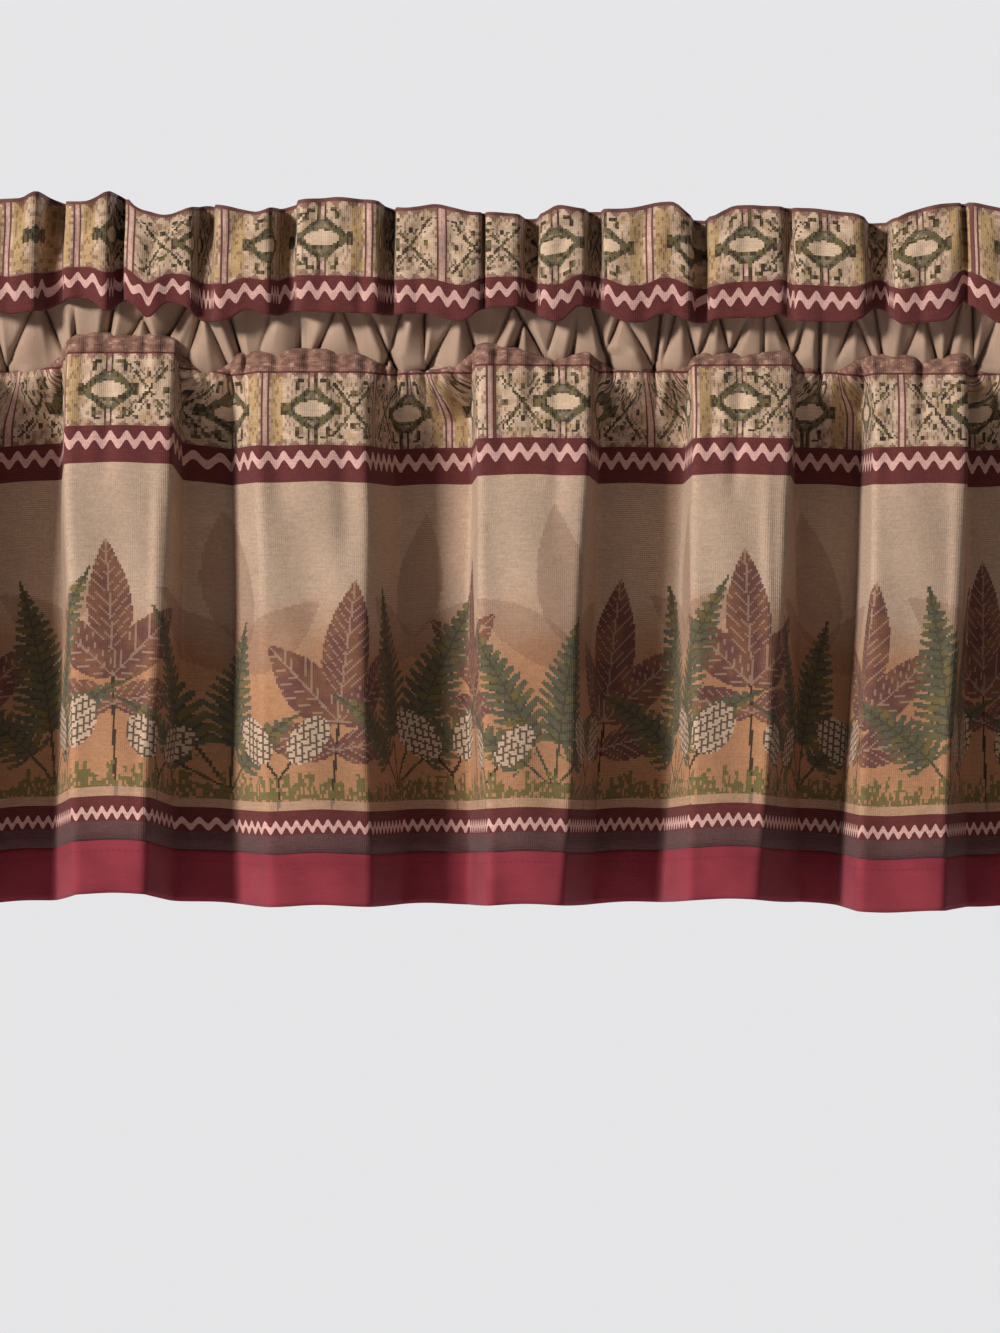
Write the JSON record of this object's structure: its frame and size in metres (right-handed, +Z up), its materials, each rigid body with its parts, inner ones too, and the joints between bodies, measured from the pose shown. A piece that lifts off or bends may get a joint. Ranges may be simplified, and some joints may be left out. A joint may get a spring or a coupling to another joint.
{
  "type": "window valance",
  "caption": "Gathered rod-pocket window valance with a ruffled heading, a patterned panel in deep hanging folds and a plain contrasting hem band.",
  "frame": {"origin": "middle of the valance's top edge, at the height of the highest ruffle and over the middle of the rod pocket", "axes": "+X along the rod, to the right seen from the front; +Y towards the wall; +Z up; the front faces -Y"},
  "size_m": [0.8903, 0.0621, 0.4101],
  "materials": {
    "heading": "matte tapestry weave, tan ground with green, plum and maroon ornament",
    "rod_pocket": "slightly satin plain weave, taupe",
    "main_panel": "matte tapestry weave, tan ground with green, plum and maroon ornament",
    "hem_band": "matte plain weave, burgundy"
  },
  "bodies": {
    "root": {"heading": "heading", "rod_pocket": "rod_pocket", "main_panel": "main_panel", "hem_band": "hem_band"}
  },
  "joints": []
}
